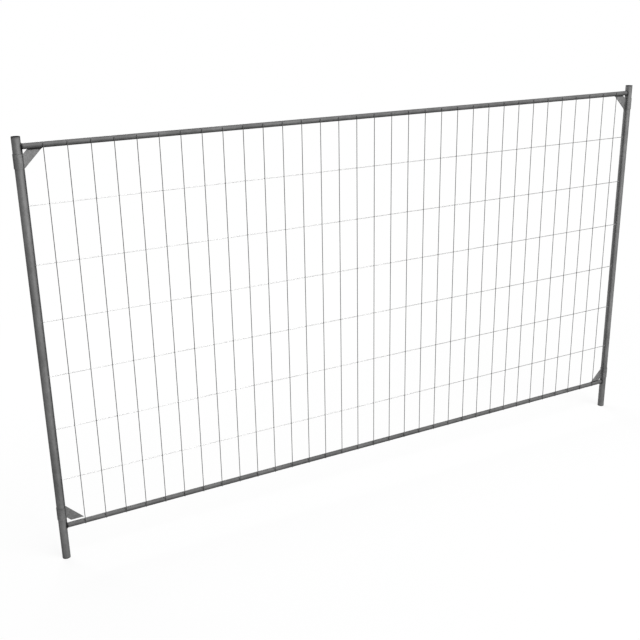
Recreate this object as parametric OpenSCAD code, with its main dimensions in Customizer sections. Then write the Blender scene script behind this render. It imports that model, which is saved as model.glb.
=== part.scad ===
// Temporary fence panel: a welded frame of round tube, filled with a welded wire mesh and stiffened at each
// corner by a folded gusset. Millimetres, +Z up, +X to the right and -Y to the front, where the mesh lies.
// The origin is on the ground, midway between the two uprights.

/* [Frame] */
// Overall width, measured over the outsides of the two uprights
panel_w = 3472; // [2000:1:3600]
// Overall height, which is the length of the uprights
panel_h = 2000; // [1500:1:2400]
// Height of the bottom rail's axis above the ground, which leaves the uprights' lower ends free
bottom_rail_z = 168; // [120:1:300]
// Depth of the top rail's axis below the uprights' top ends
top_rail_drop = 42; // [25:1:120]

/* [Tubes] */
// Outer diameter of the uprights
upright_d = 38; // [34:0.5:48]
// Wall of the uprights
upright_wall = 1.5; // [1:0.1:3]
// Outer diameter of the rails
rail_d = 25; // [20:0.5:28]
// Wall of the rails
rail_wall = 1.5; // [1:0.1:3]

/* [Mesh] */
// Diameter of the vertical and edge wires, which lie across the fronts of the rails
vertical_wire_d = 3.5; // [2:0.1:5]
// Number of vertical wires between the two edge wires
vertical_wire_count = 33; // [20:1:35]
// Distance from an upright's axis to the nearest vertical wire
vertical_end_gap = 105; // [60:1:140]
// Length of a vertical or edge wire past a rail's axis
vertical_overrun = 8; // [0:0.5:12]
// Diameter of the horizontal wires, which lie behind the vertical ones
horizontal_wire_d = 3.5; // [2:0.1:5]
// Number of horizontal wires between the rails
horizontal_wire_count = 6; // [3:1:9]
// Distance from a rail's axis to the nearest horizontal wire
horizontal_end_gap = 247.5; // [150:0.5:300]

/* [Gussets] */
// Thickness of the sheet, which is doubled in the brace
gusset_sheet = 2; // [1:0.1:3]
// Bend radius where the sheet turns from the collar into the brace
gusset_bend_r = 3; // [2:0.1:5]
// Distance of the brace's long edge from the corner between the tubes
gusset_leg = 83; // [60:1:110]
// Distance of the brace's short edge from the same corner
gusset_cut = 22; // [12:1:30]
// Length at the root of the brace over which the two sides of the fold are pressed together
gusset_nip = 1.5; // [1:0.1:2]
// Gap that the bottom left brace leaves above the rail, where the other three sit on theirs
bottom_left_gusset_gap = 11; // [1:0.5:25]

/* [Hidden] */
$fn = 64;

steel = [0.55, 0.56, 0.57];
sheet_steel = [0.5, 0.51, 0.52];
wire_steel = [0.6, 0.61, 0.62];

upright_r = upright_d / 2;
rail_r = rail_d / 2;
upright_x = panel_w / 2 - upright_r;
top_rail_z = panel_h - top_rail_drop;

// The vertical wires touch the rails' fronts and the horizontal ones touch the backs of the vertical ones.
// The edge wires lie in line with the vertical ones, against the collars of the gussets.
vertical_wire_y = -rail_r - vertical_wire_d / 2;
horizontal_wire_y = vertical_wire_y + (vertical_wire_d + horizontal_wire_d) / 2;
edge_wire_reach = upright_r + gusset_sheet + vertical_wire_d / 2;
edge_wire_x = upright_x - sqrt(pow(edge_wire_reach, 2) - pow(vertical_wire_y, 2));

vertical_pitch = (2 * upright_x - 2 * vertical_end_gap) / (vertical_wire_count - 1);
horizontal_pitch = (top_rail_z - bottom_rail_z - 2 * horizontal_end_gap) / (horizontal_wire_count - 1);

// The gusset's fold: the centres of its two bends lie this far along and across the brace.
bend_y = gusset_sheet + gusset_bend_r;
bend_reach = upright_r + gusset_sheet + gusset_bend_r;
bend_x = sqrt(pow(bend_reach, 2) - pow(bend_y, 2));
// Where the brace leaves the fold, measured from the rail: the collar is as tall as the brace is there.
collar_from = gusset_cut + upright_r - bend_x;
collar_to = gusset_leg + upright_r - bend_x;

function two_digits(n) = n < 10 ? str("0", n) : str(n);
vertical_wires = [for (i = [1 : vertical_wire_count]) str("vertical_wire_", two_digits(i))];
horizontal_wires = [for (i = [1 : horizontal_wire_count]) str("horizontal_wire_", i)];

// A solid bar along X, centred on the panel
module bar_x(r, length) {
    rotate([0, 90, 0])
        cylinder(r = r, h = length, center = true);
}

// The space that both uprights take up, for cutting the ends of what is welded between them
module upright_space() {
    for (side = [-1, 1])
        translate([side * upright_x, 0, 0])
            cylinder(r = upright_r, h = panel_h);
}

// An upright: a tube that is open at both ends
module upright(side) {
    color(steel)
        translate([side * upright_x, 0, 0])
            difference() {
                cylinder(r = upright_r, h = panel_h);
                translate([0, 0, -panel_h / 2])
                    cylinder(r = upright_r - upright_wall, h = 2 * panel_h);
            }
}

// A rail: a tube whose ends are saddled to fit round the uprights
module rail(z) {
    color(steel)
        difference() {
            translate([0, 0, z])
                difference() {
                    bar_x(rail_r, 2 * upright_x);
                    bar_x(rail_r - rail_wall, 4 * upright_x);
                }
            upright_space();
        }
}

// A wire that stands across the fronts of both rails, at x
module standing_wire(x) {
    color(wire_steel)
        translate([x, vertical_wire_y, bottom_rail_z - vertical_overrun])
            cylinder(d = vertical_wire_d, h = top_rail_z - bottom_rail_z + 2 * vertical_overrun);
}

// A vertical wire, counted from 1 at the left
module vertical_wire(index) {
    standing_wire(-upright_x + vertical_end_gap + (index - 1) * vertical_pitch);
}

// A horizontal wire, counted from 1 at the bottom, with its ends saddled to the uprights
module horizontal_wire(index) {
    color(wire_steel)
        difference() {
            translate([0, horizontal_wire_y, bottom_rail_z + horizontal_end_gap + (index - 1) * horizontal_pitch])
                bar_x(horizontal_wire_d / 2, 2 * upright_x);
            upright_space();
        }
}

// A pair of circles at the centres of the fold's bends
module bend_circles(r) {
    for (side = [-1, 1])
        translate([bend_x, side * bend_y])
            circle(r = r);
}

// The strip between the bends, from the upright's axis to along, no wider than where the collar of radius
// collar_r turns into the bends
module fold_strip(collar_r, along) {
    half_w = collar_r * bend_y / bend_reach;
    translate([0, -half_w])
        square([along, 2 * half_w]);
}

// The fold seen from above: one sheet that goes round the upright and comes back to itself
module fold_outline() {
    difference() {
        union() {
            circle(r = upright_r + gusset_sheet);
            difference() {
                fold_strip(upright_r + gusset_sheet, bend_x);
                bend_circles(gusset_bend_r);
            }
        }
        circle(r = upright_r);
        difference() {
            fold_strip(upright_r, bend_x - gusset_nip);
            bend_circles(gusset_bend_r + gusset_sheet);
        }
    }
}

// A corner gusset, with the upright along Z, the panel towards +X and the rail's edge in the plane Z = 0.
// The brace is a slanting strip of doubled sheet between two lines at 45 degrees. With no gap it is saddled
// to the rail.
module gusset(gap) {
    rail_reach = gap > 0 ? 0 : rail_r;
    short_edge = upright_r + gusset_cut;
    long_edge = upright_r + gusset_leg;
    color(sheet_steel)
        difference() {
            union() {
                translate([0, 0, collar_from])
                    linear_extrude(collar_to - collar_from)
                        fold_outline();
                translate([0, gusset_sheet, 0])
                    rotate([90, 0, 0])
                        linear_extrude(2 * gusset_sheet)
                            polygon([
                                [bend_x, collar_from],
                                [bend_x, collar_to],
                                [long_edge + rail_reach, -rail_reach],
                                [short_edge + rail_reach, -rail_reach]
                            ]);
            }
            if (gap == 0)
                translate([0, 0, -rail_r])
                    bar_x(rail_r, 4 * (long_edge + rail_r));
        }
}

module bottom_gusset(side, gap) {
    translate([side * upright_x, 0, bottom_rail_z + rail_r + gap])
        mirror([side > 0 ? 1 : 0, 0, 0])
            gusset(gap);
}

module top_gusset(side) {
    translate([side * upright_x, 0, top_rail_z - rail_r])
        mirror([0, 0, 1])
            mirror([side > 0 ? 1 : 0, 0, 0])
                gusset(0);
}

module left_upright() { upright(-1); }
module right_upright() { upright(1); }
module top_rail() { rail(top_rail_z); }
module bottom_rail() { rail(bottom_rail_z); }
module top_left_gusset() { top_gusset(-1); }
module top_right_gusset() { top_gusset(1); }
module bottom_left_gusset() { bottom_gusset(-1, bottom_left_gusset_gap); }
module bottom_right_gusset() { bottom_gusset(1, 0); }
module left_edge_wire() { standing_wire(-edge_wire_x); }
module right_edge_wire() { standing_wire(edge_wire_x); }

left_upright();
right_upright();
top_rail();
bottom_rail();
top_left_gusset();
top_right_gusset();
bottom_left_gusset();
bottom_right_gusset();
left_edge_wire();
right_edge_wire();
for (i = [1 : vertical_wire_count])
    vertical_wire(i);
for (i = [1 : horizontal_wire_count])
    horizontal_wire(i);
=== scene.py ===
import math
import random

import bpy
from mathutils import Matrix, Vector


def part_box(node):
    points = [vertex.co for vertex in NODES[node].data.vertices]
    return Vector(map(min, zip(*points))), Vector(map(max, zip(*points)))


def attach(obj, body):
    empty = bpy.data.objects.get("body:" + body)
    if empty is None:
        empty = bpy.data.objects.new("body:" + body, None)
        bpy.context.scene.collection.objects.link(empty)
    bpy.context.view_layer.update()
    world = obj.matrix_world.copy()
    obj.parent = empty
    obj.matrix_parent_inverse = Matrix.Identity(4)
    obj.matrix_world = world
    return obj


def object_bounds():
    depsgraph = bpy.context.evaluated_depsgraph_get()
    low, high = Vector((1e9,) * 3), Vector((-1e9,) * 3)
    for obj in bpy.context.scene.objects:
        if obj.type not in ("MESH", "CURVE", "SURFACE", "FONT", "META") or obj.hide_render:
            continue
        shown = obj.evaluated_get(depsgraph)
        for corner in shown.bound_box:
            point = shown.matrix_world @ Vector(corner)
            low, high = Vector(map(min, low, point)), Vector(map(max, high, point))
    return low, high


# A welded fence panel: galvanised finishes on its solids, weld metal at their joints, and a white studio.
# Metres, in the solids' own frame: the uprights stand along Z, and the mesh lies towards -Y, the front.

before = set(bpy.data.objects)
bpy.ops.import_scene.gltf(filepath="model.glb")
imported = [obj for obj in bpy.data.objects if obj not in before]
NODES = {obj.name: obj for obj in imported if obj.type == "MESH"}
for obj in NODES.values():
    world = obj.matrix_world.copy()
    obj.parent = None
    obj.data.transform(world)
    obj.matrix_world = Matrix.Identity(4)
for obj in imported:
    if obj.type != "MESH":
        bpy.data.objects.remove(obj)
CAD_LOW, CAD_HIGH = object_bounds()


# Sizes that the welds, burn marks and painted shade follow, taken from the solids

def middle(name):
    """The middle of a node's box"""
    low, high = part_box(name)
    return (low + high) / 2


LEFT_LOW, LEFT_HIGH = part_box("left_upright")
RIGHT_LOW, RIGHT_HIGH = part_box("right_upright")
UPRIGHT_X = {"left": (LEFT_LOW.x + LEFT_HIGH.x) / 2, "right": (RIGHT_LOW.x + RIGHT_HIGH.x) / 2}
UPRIGHT_R = (LEFT_HIGH.x - LEFT_LOW.x) / 2
TOP_LOW, TOP_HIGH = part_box("top_rail")
BOTTOM_LOW, BOTTOM_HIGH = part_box("bottom_rail")
RAIL_Z = {"top": (TOP_LOW.z + TOP_HIGH.z) / 2, "bottom": (BOTTOM_LOW.z + BOTTOM_HIGH.z) / 2}
RAIL_R = (TOP_HIGH.z - TOP_LOW.z) / 2
# Which way the middle of the panel lies from each upright and each rail
INWARD = {"left": 1, "right": -1}
MIDWARD = {"top": -1, "bottom": 1}

GUSSETS = [f"{level}_{side}_gusset" for level in RAIL_Z for side in UPRIGHT_X]
GUSSET_BOX = {name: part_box(name) for name in GUSSETS}
SHEET = GUSSET_BOX["top_left_gusset"][1].y - UPRIGHT_R
# From an upright's axis to the far end of a top gusset's brace
BRACE_END = GUSSET_BOX["top_left_gusset"][1].x - UPRIGHT_X["left"]
# From an upright's face to where a gusset's short edge meets the rail
GUSSET_CUT = 0.022
# From a rail's edge to the near edge of a gusset's collar
COLLAR_GAP = 0.0175
# This corner's gusset sits clear of its rail
CLEAR_CORNER = "bottom_left"

STANDING_WIRES = sorted(name for name in NODES if "vertical_wire" in name or "edge_wire" in name)
CROSS_WIRES = sorted(name for name in NODES if "horizontal_wire" in name)
# The middles of those wires
STANDING = [middle(name) for name in STANDING_WIRES]
CROSSING = [middle(name) for name in CROSS_WIRES]
WIRE_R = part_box("left_edge_wire")[1].x - middle("left_edge_wire").x


# General helpers

def placed(name, data):
    """A new object in the scene"""
    obj = bpy.data.objects.new(name, data)
    bpy.context.scene.collection.objects.link(obj)
    return obj


def turns(count):
    """That many angles, evenly spaced round a full turn"""
    return [2 * math.pi * i / count for i in range(count)]


# Shader helpers

NOISE_ROUGHNESS = 0.55


def new_material(name):
    """A material with its node tree, its Principled shader and the object's own coordinates"""
    mat = bpy.data.materials.new(name)
    mat.use_nodes = True
    tree = mat.node_tree
    shader = tree.nodes["Principled BSDF"]
    coords = tree.nodes.new("ShaderNodeTexCoord").outputs["Object"]
    return mat, tree, shader, coords


def calc(tree, operation, *values):
    """One step of arithmetic on one or two values, each a socket or a number"""
    node = tree.nodes.new("ShaderNodeMath")
    node.operation = operation
    for socket, value in zip(node.inputs, values):
        if isinstance(value, float):
            socket.default_value = value
        else:
            tree.links.new(value, socket)
    return node.outputs["Value"]


def product(tree, factors):
    """All the factors multiplied"""
    result = factors[0]
    for factor in factors[1:]:
        result = calc(tree, "MULTIPLY", result, factor)
    return result


def remap(tree, value, results, span=(0.0, 1.0)):
    """A value that runs over the span, turned into one that runs over the results and stays within them"""
    node = tree.nodes.new("ShaderNodeMapRange")
    node.inputs["From Min"].default_value, node.inputs["From Max"].default_value = span
    node.inputs["To Min"].default_value, node.inputs["To Max"].default_value = results
    tree.links.new(value, node.inputs["Value"])
    return node.outputs["Result"]


def length(tree, first, second):
    """The length of a flat vector with those two parts"""
    vector = tree.nodes.new("ShaderNodeCombineXYZ")
    tree.links.new(first, vector.inputs["X"])
    tree.links.new(second, vector.inputs["Y"])
    node = tree.nodes.new("ShaderNodeVectorMath")
    node.operation = "LENGTH"
    tree.links.new(vector.outputs["Vector"], node.inputs[0])
    return node.outputs["Value"]


def past_ends(tree, value, low, high):
    """How far a value lies outside the range from low to high, which is less than 0 inside it"""
    off = calc(tree, "SUBTRACT", value, (low + high) / 2)
    return calc(tree, "SUBTRACT", calc(tree, "ABSOLUTE", off), (high - low) / 2)


def split(tree, coords):
    """The coordinates' X, Y and Z"""
    node = tree.nodes.new("ShaderNodeSeparateXYZ")
    tree.links.new(coords, node.inputs["Vector"])
    return node.outputs["X"], node.outputs["Y"], node.outputs["Z"]


def stretched(tree, coords, cells):
    """The coordinates in cells, of which there are that many per metre along each axis"""
    mapping = tree.nodes.new("ShaderNodeMapping")
    mapping.inputs["Scale"].default_value = cells
    tree.links.new(coords, mapping.inputs["Vector"])
    return mapping.outputs["Vector"]


def noise(tree, coords, cells, detail):
    """A noise between 0 and 1, with that many cells per metre along each axis"""
    node = tree.nodes.new("ShaderNodeTexNoise")
    node.inputs["Scale"].default_value = 1.0
    node.inputs["Detail"].default_value = detail
    node.inputs["Roughness"].default_value = NOISE_ROUGHNESS
    tree.links.new(stretched(tree, coords, cells), node.inputs["Vector"])
    return node.outputs["Fac"]


def spangle(tree, coords, cells):
    """The crystals of a zinc coat: a random grey in each of that many cells per metre along each axis"""
    node = tree.nodes.new("ShaderNodeTexVoronoi")
    node.inputs["Scale"].default_value = 1.0
    tree.links.new(stretched(tree, coords, cells), node.inputs["Vector"])
    grey = tree.nodes.new("ShaderNodeSeparateColor")
    tree.links.new(node.outputs["Color"], grey.inputs["Color"])
    return grey.outputs["Red"]


def tinted(tree, factor, grey):
    """A grey times a factor"""
    node = tree.nodes.new("ShaderNodeVectorMath")
    node.operation = "SCALE"
    node.inputs[0].default_value = (grey, grey, grey)
    tree.links.new(factor, node.inputs["Scale"])
    return node.outputs["Vector"]


def bump(tree, shader, height, depth):
    """Bumps of that depth in metres"""
    node = tree.nodes.new("ShaderNodeBump")
    node.inputs["Distance"].default_value = depth
    tree.links.new(height, node.inputs["Height"])
    tree.links.new(node.outputs["Normal"], shader.inputs["Normal"])


# Burnt zinc and painted shade at the joints

# Zinc burns off where the rails are welded to the uprights, and painted shade darkens these corners too:
# how far the dark mark reaches across the joint, along the upright towards the panel's middle and along it
# the other way, and how dark it is
JOINT_MARK_ACROSS = 0.006
JOINT_MARK_MIDWARD = 0.02
JOINT_MARK_OUTWARD = 0.012
JOINT_MARK_DARK = 0.85
# It burns off too along the seams between the top rail and its braces, with painted shade in the crease
# under the rail: how far across a seam and past its ends, and how dark
SEAM_ACROSS = 0.0065
SEAM_FADE = 0.006
SEAM_DARK = 0.7
# A dark mark is whole up to the first of these shares of its reach, and gone at the second
JOINT_MARK_EDGE = (0.5, 1.6)
SEAM_EDGE = (0.5, 1.2)
# Its edge is ragged: the cells per metre of the noise, the part of that noise that counts, and the share of
# the reach that it adds or takes away
RAGGED_CELLS = (260.0, 260.0, 160.0)
RAGGED_SPAN = (0.3, 0.7)
RAGGED_SHARE = 0.25
# The marks are darker on the left than on the right: painted shade, as the left joints lie in shade. The
# strength turns from one to the other within this distance of the panel's middle.
LEFT_SHADE = 1.0
RIGHT_SHADE = 0.35
SHADE_TURN = 0.1


def joint_burn_and_shade(tree, fold, z, ragged):
    """How dark the burn and painted shade round the rails' ends are"""
    across = calc(tree, "SUBTRACT", fold, UPRIGHT_X["right"] - UPRIGHT_R + WIRE_R)
    across = calc(tree, "DIVIDE", across, JOINT_MARK_ACROSS)
    outward = past_ends(tree, z, RAIL_Z["bottom"], RAIL_Z["top"])
    along = calc(tree, "DIVIDE", outward, JOINT_MARK_OUTWARD)
    along = calc(tree, "MAXIMUM", along, calc(tree, "DIVIDE", outward, -JOINT_MARK_MIDWARD))
    reach = calc(tree, "ADD", length(tree, across, along), ragged)
    return remap(tree, reach, (JOINT_MARK_DARK, 0.0), JOINT_MARK_EDGE)


def seam_burn_and_shade(tree, fold, y, z, ragged):
    """How dark the burn and painted shade along the top rail's braces are"""
    off = length(tree, y, calc(tree, "SUBTRACT", z, RAIL_Z["top"] - RAIL_R))
    off = calc(tree, "DIVIDE", off, SEAM_ACROSS)
    past = past_ends(tree, fold, UPRIGHT_X["right"] - BRACE_END, UPRIGHT_X["right"])
    past = calc(tree, "DIVIDE", past, SEAM_FADE)
    reach = calc(tree, "ADD", calc(tree, "MAXIMUM", off, past), ragged)
    return remap(tree, reach, (SEAM_DARK, 0.0), SEAM_EDGE)


def burn_and_corner_shade(tree, coords):
    """A factor that is dark where welding burnt the zinc and where shade is painted into the joints'
    corners and the braces' seams, and 1 elsewhere
    """
    x, y, z = split(tree, coords)
    # The panel's halves are alike, so the dark marks are placed by the distance from its middle
    fold = calc(tree, "ABSOLUTE", x)
    edge = noise(tree, coords, RAGGED_CELLS, detail=3.0)
    ragged = remap(tree, edge, (-RAGGED_SHARE, RAGGED_SHARE), RAGGED_SPAN)
    joint = joint_burn_and_shade(tree, fold, z, ragged)
    seam = seam_burn_and_shade(tree, fold, y, z, ragged)
    # Painted shade: the left joints' marks are darker than the right ones'
    shade_side = remap(tree, x, (LEFT_SHADE, RIGHT_SHADE), (-SHADE_TURN, SHADE_TURN))
    dark = calc(tree, "MULTIPLY", calc(tree, "MAXIMUM", joint, seam), shade_side)
    return calc(tree, "SUBTRACT", 1.0, dark)


# Ends of the uprights, with painted shade in their bores

# The tone of an upright's inner wall and rims, a painted shade, and how far below its outside that tone is
# whole and gone
BORE_SHADE_TONE = 0.05
BORE_WHOLE = 0.0006
BORE_GONE = 0.0001
# Darker towards each end of an upright: how far it reaches along the outside, and its tone at the very end
END_DARK_REACH = 0.008
END_DARK_TONE = 0.5


def bore_shade_and_dark_ends(tree, coords):
    """A factor that is dark on an upright's inner wall and rims, painted shade in the bore, a little dark
    at its ends, else 1
    """
    x, y, z = split(tree, coords)
    fold = calc(tree, "ABSOLUTE", x)
    radius = length(tree, calc(tree, "SUBTRACT", fold, UPRIGHT_X["right"]), y)
    # Painted shade on the inner wall and the rims
    bore = remap(tree, radius, (BORE_SHADE_TONE, 1.0), (UPRIGHT_R - BORE_WHOLE, UPRIGHT_R - BORE_GONE))
    past = past_ends(tree, z, LEFT_LOW.z, LEFT_HIGH.z)
    end = remap(tree, past, (1.0, END_DARK_TONE), (-END_DARK_REACH, 0.0))
    return calc(tree, "MULTIPLY", bore, end)


# Metals

SPECULAR = 0.05
SPECULAR_TINT = (0.3, 0.3, 0.3, 1.0)
# Streaks in the zinc: the tones that they run between, and the part of the noise that counts
STREAK_TONES = (0.86, 1.14)
STREAK_SPAN = (0.25, 0.75)
# Dull patches: their cells per metre, tones, part of the noise, and share of the roughness
PATCH_CELLS = (9.0, 9.0, 9.0)
PATCH_TONES = (0.84, 1.12)
PATCH_SPAN = (0.3, 0.7)
PATCH_ROUGHNESS = (1.12, 0.9)
# The crystals' share of the roughness
CRYSTAL_ROUGHNESS = (0.9, 1.12)
# Fine grain: its cells per metre, and its depth
GRAIN_CELLS = (700.0, 700.0, 700.0)
GRAIN_DEPTH = 0.00012
# The crust on weld metal: its cells per metre, tones, part of the noise, roughness and depth, and how
# metallic it is
CRUST_CELLS = (420.0, 420.0, 420.0)
CRUST_TONES = (0.5, 1.6)
CRUST_SPAN = (0.3, 0.75)
CRUST_ROUGHNESS = (0.75, 0.5)
CRUST_DEPTH = 0.0003
CRUST_METALLIC = 0.2


def metal(shader, metallic):
    """How metallic a shader is, and the faint highlight that all of them share"""
    shader.inputs["Metallic"].default_value = metallic
    shader.inputs["Specular IOR Level"].default_value = SPECULAR
    shader.inputs["Specular Tint"].default_value = SPECULAR_TINT


def zinc(name, grey, metallic, roughness, crystals, streaks, spread, ends=False):
    """Galvanised steel: crystals of zinc, streaks along the metal, dull patches, burns with painted shade
    at the joints, and a fine grain.
    crystals and streaks are in cells per metre, and spread is how far the crystals' greys differ."""
    mat, tree, shader, coords = new_material(name)
    crystal = spangle(tree, coords, crystals)
    streak = noise(tree, coords, streaks, detail=3.0)
    patch = noise(tree, coords, PATCH_CELLS, detail=4.0)
    grain = noise(tree, coords, GRAIN_CELLS, detail=2.0)
    tones = [
        remap(tree, crystal, (1.0 - spread, 1.0 + spread)),
        remap(tree, streak, STREAK_TONES, STREAK_SPAN),
        remap(tree, patch, PATCH_TONES, PATCH_SPAN),
        # Burn marks with painted shade round the joints and along the braces' seams
        burn_and_corner_shade(tree, coords),
    ]
    if ends:
        # Painted shade in the bore, and darker ends
        tones.append(bore_shade_and_dark_ends(tree, coords))
    tree.links.new(tinted(tree, product(tree, tones), grey), shader.inputs["Base Color"])
    dull = remap(tree, patch, [roughness * share for share in PATCH_ROUGHNESS])
    rough = calc(tree, "MULTIPLY", dull, remap(tree, crystal, CRYSTAL_ROUGHNESS))
    tree.links.new(rough, shader.inputs["Roughness"])
    metal(shader, metallic)
    bump(tree, shader, grain, GRAIN_DEPTH)
    return mat


def weld_metal(name, grey):
    """Weld metal: a dark crust with paler crowns, rough all over"""
    mat, tree, shader, coords = new_material(name)
    crust = noise(tree, coords, CRUST_CELLS, detail=4.0)
    tone = remap(tree, crust, CRUST_TONES, CRUST_SPAN)
    tree.links.new(tinted(tree, tone, grey), shader.inputs["Base Color"])
    tree.links.new(remap(tree, crust, CRUST_ROUGHNESS), shader.inputs["Roughness"])
    metal(shader, CRUST_METALLIC)
    bump(tree, shader, crust, CRUST_DEPTH)
    return mat


TUBE_ZINC = zinc(
    "tube_zinc", grey=0.17, metallic=0.6, roughness=0.6,
    crystals=(110.0, 110.0, 60.0), streaks=(60.0, 60.0, 2.5), spread=0.1, ends=True,
)
# The rails' grey is darker than the uprights' to offset the stronger light on their tops: painted shade
SHADED_RAIL_ZINC = zinc(
    "rail_zinc_painted_shade", grey=0.11, metallic=0.2, roughness=0.55,
    crystals=(60.0, 110.0, 110.0), streaks=(2.5, 60.0, 60.0), spread=0.1,
)
SHEET_ZINC = zinc(
    "sheet_zinc", grey=0.17, metallic=0.5, roughness=0.55,
    crystals=(140.0, 140.0, 140.0), streaks=(40.0, 40.0, 12.0), spread=0.14,
)
WIRE_ZINC = zinc(
    "wire_zinc", grey=0.11, metallic=0.25, roughness=0.4,
    crystals=(300.0, 300.0, 150.0), streaks=(90.0, 90.0, 4.0), spread=0.08,
)
# The cross wires' grey is lighter than the standing wires' to stand in for the highlights on them: painted
# highlight
CROSS_ZINC_PAINTED_SHEEN = zinc(
    "cross_wire_zinc_painted_sheen", grey=0.31, metallic=0.9, roughness=0.32,
    crystals=(150.0, 300.0, 300.0), streaks=(4.0, 90.0, 90.0), spread=0.08,
)
DARK_WELD = weld_metal("dark_weld", grey=0.015)
PALE_WELD = weld_metal("pale_weld", grey=0.035)
TACK_WELD = weld_metal("tack_weld", grey=0.07)
SPOT_WELD = weld_metal("spot_weld", grey=0.11)


def paint(names, mat):
    """One material on each of the named nodes"""
    for name in names:
        slots = NODES[name].data.materials
        slots.clear()
        slots.append(mat)


paint(["left_upright", "right_upright"], TUBE_ZINC)
paint(["top_rail", "bottom_rail"], SHADED_RAIL_ZINC)
paint(GUSSETS, SHEET_ZINC)
paint(STANDING_WIRES, WIRE_ZINC)
paint(CROSS_WIRES, CROSS_ZINC_PAINTED_SHEEN)


# Weld shapes

BEAD_SIDES = 10
# A bead's ripples: their length, and as shares of its radius its size between them, their height, and how
# much the size varies by chance
RIPPLE = 0.0026
RIPPLE_LOW = 0.9
RIPPLE_RISE = 0.14
RIPPLE_CHANCE = 0.05
# An open bead starts and ends at this share of its size, and gains this much more with each ring
TAPER_END = 0.45
TAPER_GAIN = 0.2
NUGGET_RINGS = 4
NUGGET_SIDES = 8
# A nugget's lumps lie between these shares of its reach
NUGGET_LUMPS = (0.85, 1.1)


def bead(path, radius, closed, rng):
    """A weld bead along a path of points: a tube with the ripples of a weld, tapered at open ends"""
    count = len(path)
    verts = []
    faces = []
    side = None
    run = 0.0
    for i, point in enumerate(path):
        before = path[(i - 1) % count] if closed or i > 0 else point
        after = path[(i + 1) % count] if closed or i < count - 1 else point
        tangent = (after - before).normalized()
        if side is None:
            side = tangent.orthogonal()
        side = (side - tangent * side.dot(tangent)).normalized()
        other = tangent.cross(side)
        if i > 0:
            run += (point - path[i - 1]).length
        ripple = RIPPLE_LOW + RIPPLE_RISE * abs(math.sin(math.pi * run / RIPPLE))
        size = radius * (ripple + rng.uniform(-RIPPLE_CHANCE, RIPPLE_CHANCE))
        if not closed:
            from_end = min(i, count - 1 - i)
            size *= min(1.0, TAPER_END + TAPER_GAIN * from_end)
        for turn in turns(BEAD_SIDES):
            verts.append(point + (side * math.cos(turn) + other * math.sin(turn)) * size)
    for i in range(count if closed else count - 1):
        row = i * BEAD_SIDES
        next_row = ((i + 1) % count) * BEAD_SIDES
        for k in range(BEAD_SIDES):
            after = (k + 1) % BEAD_SIDES
            faces.append((row + k, row + after, next_row + after, next_row + k))
    if not closed:
        faces.append(tuple(reversed(range(BEAD_SIDES))))
        faces.append(tuple(range((count - 1) * BEAD_SIDES, count * BEAD_SIDES)))
    return verts, faces


def nugget(centre, reach, rng):
    """A spot weld: a lumpy bead that reaches that far along each axis"""
    verts = [centre + Vector((0, 0, reach[2]))]
    for i in range(1, NUGGET_RINGS):
        tilt = math.pi * i / NUGGET_RINGS
        for turn in turns(NUGGET_SIDES):
            out = (math.sin(tilt) * math.cos(turn), math.sin(tilt) * math.sin(turn), math.cos(tilt))
            lump = rng.uniform(*NUGGET_LUMPS)
            verts.append(centre + lump * Vector([part * far for part, far in zip(out, reach)]))
    verts.append(centre - Vector((0, 0, reach[2])))
    last = len(verts) - 1
    last_row = last - NUGGET_SIDES
    faces = []
    for k in range(NUGGET_SIDES):
        after = (k + 1) % NUGGET_SIDES
        faces.append((0, 1 + k, 1 + after))
        for row in range(1, last_row, NUGGET_SIDES):
            next_row = row + NUGGET_SIDES
            faces.append((row + k, next_row + k, next_row + after, row + after))
        faces.append((last_row + k, last, last_row + after))
    return verts, faces


def weld_piece(name, runs, mat):
    """Several runs of vertices and faces as one piece"""
    verts = []
    faces = []
    for run_verts, run_faces in runs:
        start = len(verts)
        verts += run_verts
        faces += [tuple(start + i for i in face) for face in run_faces]
    mesh = bpy.data.meshes.new(name)
    mesh.from_pydata(verts, [], faces)
    mesh.shade_smooth()
    mesh.materials.append(mat)
    piece = placed(name, mesh)
    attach(piece, "root")


# Welds of the frame

WELD_SEED = 7
# The left joints' beads are the darker weld metal and the right ones' the paler: painted shade, as the left
# joints lie in shade
JOINT_WELD_PAINTED_SHADE = {"left": DARK_WELD, "right": PALE_WELD}
# Each bead's radius, and the number of points along it
SADDLE_BEAD = 0.0024
SADDLE_POINTS = 110
BRACE_BEAD = 0.003
BRACE_POINTS = 70
COLLAR_BEAD = 0.001
COLLAR_POINTS = 150
# From a brace's short edge to where its beads start
BRACE_BARE = 0.004
# From an upright's face to the middle of a collar's bead
COLLAR_SEAT = SHEET / 3


def upright_face(side, y):
    """The X of an upright's inner face at that Y"""
    return UPRIGHT_X[side] + INWARD[side] * math.sqrt(UPRIGHT_R ** 2 - y ** 2)


def saddle_path(side, level):
    """Where a rail's end meets the upright"""
    path = []
    for turn in turns(SADDLE_POINTS):
        y = RAIL_R * math.cos(turn)
        path.append(Vector((upright_face(side, y), y, RAIL_Z[level] + RAIL_R * math.sin(turn))))
    return path


def brace_path(side, level, face):
    """Where one face of a gusset's brace meets the rail"""
    low, high = GUSSET_BOX[f"{level}_{side}_gusset"]
    inner = UPRIGHT_X[side] + INWARD[side] * (UPRIGHT_R + GUSSET_CUT + BRACE_BARE)
    outer = high.x if side == "left" else low.x
    z = RAIL_Z[level] + MIDWARD[level] * math.sqrt(RAIL_R ** 2 - SHEET ** 2)
    path = []
    for i in range(BRACE_POINTS):
        x = inner + (outer - inner) * i / (BRACE_POINTS - 1)
        path.append(Vector((x, face * SHEET, z)))
    return path


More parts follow.
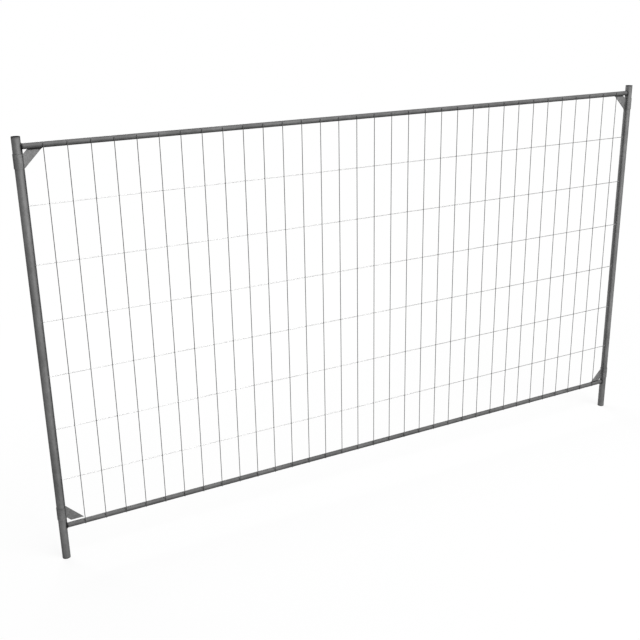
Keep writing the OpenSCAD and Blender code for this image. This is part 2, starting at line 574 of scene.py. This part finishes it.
def collar_path(side, level):
    """The upper edge of a gusset's collar, round the upright"""
    _, high = GUSSET_BOX[f"{level}_{side}_gusset"]
    z = high.z if level == "bottom" else RAIL_Z[level] - RAIL_R - COLLAR_GAP
    radius = UPRIGHT_R + COLLAR_SEAT
    path = []
    for turn in turns(COLLAR_POINTS):
        path.append(Vector((UPRIGHT_X[side] + radius * math.cos(turn), radius * math.sin(turn), z)))
    return path


rng = random.Random(WELD_SEED)
for level in RAIL_Z:
    for side in UPRIGHT_X:
        corner = f"{level}_{side}"
        runs = [bead(saddle_path(side, level), SADDLE_BEAD, True, rng)]
        weld_piece(f"{corner}_rail_weld", runs, JOINT_WELD_PAINTED_SHADE[side])
        runs = [bead(collar_path(side, level), COLLAR_BEAD, True, rng)]
        weld_piece(f"{corner}_collar_weld", runs, TACK_WELD)
        if corner != CLEAR_CORNER:
            runs = [bead(brace_path(side, level, face), BRACE_BEAD, False, rng) for face in (-1, 1)]
            weld_piece(f"{corner}_brace_weld", runs, DARK_WELD)


# Spot welds of the mesh

SPOT_R = 1.15 * WIRE_R
# How far a spot weld reaches along X, Y and Z, on a rail, where two wires cross, and on an upright
RAIL_SPOT = (SPOT_R, 0.5 * SPOT_R, 1.5 * SPOT_R)
MESH_SPOT = (SPOT_R, 0.6 * SPOT_R, SPOT_R)
UPRIGHT_SPOT = (1.2 * SPOT_R, SPOT_R, 1.2 * SPOT_R)

for level in RAIL_Z:
    runs = []
    for wire in STANDING:
        place = Vector((wire.x, -RAIL_R, RAIL_Z[level]))
        runs.append(nugget(place, RAIL_SPOT, rng))
    weld_piece(f"{level}_rail_spot_welds", runs, SPOT_WELD)

runs = []
for wire in STANDING:
    for cross in CROSSING:
        place = Vector((wire.x, (wire.y + cross.y) / 2, cross.z))
        runs.append(nugget(place, MESH_SPOT, rng))
weld_piece("mesh_spot_welds", runs, SPOT_WELD)

runs = []
for side in UPRIGHT_X:
    for cross in CROSSING:
        place = Vector((upright_face(side, cross.y), cross.y, cross.z))
        runs.append(nugget(place, UPRIGHT_SPOT, rng))
weld_piece("upright_spot_welds", runs, SPOT_WELD)


# Floor and background

WHITE = (1.0, 1.0, 1.0, 1.0)
FLOOR_HALF = 60.0
# The floor's grey for light that bounces, and as it is seen
FLOOR_BOUNCE = 0.05
FLOOR_PALE = 0.65
# The share of plain white in the floor at the object, and from where to where it rises to the whole
FLOOR_GLOW = 0.88
FLOOR_RISE = (2.0, 4.0)
# The background's strength for light that bounces
AMBIENT = 0.08


def seen_directly(tree):
    """1 for rays from the camera and for mirrored or refracted ones, 0 for light that bounces"""
    path = tree.nodes.new("ShaderNodeLightPath")
    glossy = calc(tree, "MAXIMUM", path.outputs["Is Camera Ray"], path.outputs["Is Glossy Ray"])
    return calc(tree, "MAXIMUM", glossy, path.outputs["Is Transmission Ray"])


def white_floor():
    """A pale floor that shows white, a little darker near the object where its shadow falls"""
    mat = bpy.data.materials.new("floor")
    mat.use_nodes = True
    tree = mat.node_tree
    tree.nodes.clear()
    seen = seen_directly(tree)
    pale = tree.nodes.new("ShaderNodeBsdfDiffuse")
    tree.links.new(remap(tree, seen, (FLOOR_BOUNCE, FLOOR_PALE)), pale.inputs["Color"])
    white = tree.nodes.new("ShaderNodeEmission")
    white.inputs["Color"].default_value = WHITE
    white.inputs["Strength"].default_value = 1.0
    away = tree.nodes.new("ShaderNodeVectorMath")
    away.operation = "LENGTH"
    tree.links.new(tree.nodes.new("ShaderNodeTexCoord").outputs["Object"], away.inputs[0])
    glow = remap(tree, away.outputs["Value"], (FLOOR_GLOW, 1.0), FLOOR_RISE)
    mix = tree.nodes.new("ShaderNodeMixShader")
    tree.links.new(calc(tree, "MULTIPLY", seen, glow), mix.inputs["Fac"])
    tree.links.new(pale.outputs["BSDF"], mix.inputs[1])
    tree.links.new(white.outputs["Emission"], mix.inputs[2])
    out = tree.nodes.new("ShaderNodeOutputMaterial")
    tree.links.new(mix.outputs["Shader"], out.inputs["Surface"])
    return mat


def white_world():
    """A background that shows white and lights the object only a little"""
    world = bpy.data.worlds.new("studio")
    world.use_nodes = True
    tree = world.node_tree
    background = tree.nodes["Background"]
    background.inputs["Color"].default_value = WHITE
    tree.links.new(remap(tree, seen_directly(tree), (AMBIENT, 1.0)), background.inputs["Strength"])
    return world


floor_corners = [(FLOOR_HALF * x, FLOOR_HALF * y, 0) for x, y in ((-1, -1), (1, -1), (1, 1), (-1, 1))]
floor_mesh = bpy.data.meshes.new("floor")
floor_mesh.from_pydata(floor_corners, [], [(0, 1, 2, 3)])
floor_mesh.materials.append(white_floor())
floor = placed("floor", floor_mesh)
bpy.context.scene.world = white_world()


# Lights

PANEL_MIDDLE = (CAD_LOW + CAD_HIGH) / 2


def softbox(name, place, size, energy):
    """A soft rectangular light that faces the middle of the panel, with its energy in watts"""
    light = bpy.data.lights.new(name, "AREA")
    light.shape = "RECTANGLE"
    light.size, light.size_y = size
    light.energy = energy
    lamp = placed(name, light)
    lamp.location = place
    lamp.rotation_euler = (PANEL_MIDDLE - lamp.location).to_track_quat("-Z", "Y").to_euler()


softbox("front_light", place=(2.5, -8.0, 8.0), size=(8.0, 14.0), energy=2350.0)
softbox("back_light", place=(-1.0, 9.0, 5.0), size=(10.0, 4.0), energy=1400.0)


# Camera

# Where the photo was taken from: the camera's place, and its turn in degrees
CAMERA_PLACE = (-2.4750, -4.0227, 2.5480)
CAMERA_TURN = (70.686, 0.954, -28.560)
# Its lens and sensor in millimetres, and how far it sees
LENS_MM = 53.083
SENSOR_MM = 36.0
CAMERA_FAR = 200.0

camera_data = bpy.data.cameras.new("camera")
camera_data.lens = LENS_MM
camera_data.sensor_width = SENSOR_MM
camera_data.clip_end = CAMERA_FAR
camera = placed("camera", camera_data)
camera.location = CAMERA_PLACE
camera.rotation_euler = [math.radians(angle) for angle in CAMERA_TURN]
bpy.context.scene.camera = camera
bpy.context.scene.view_settings.view_transform = "Standard"
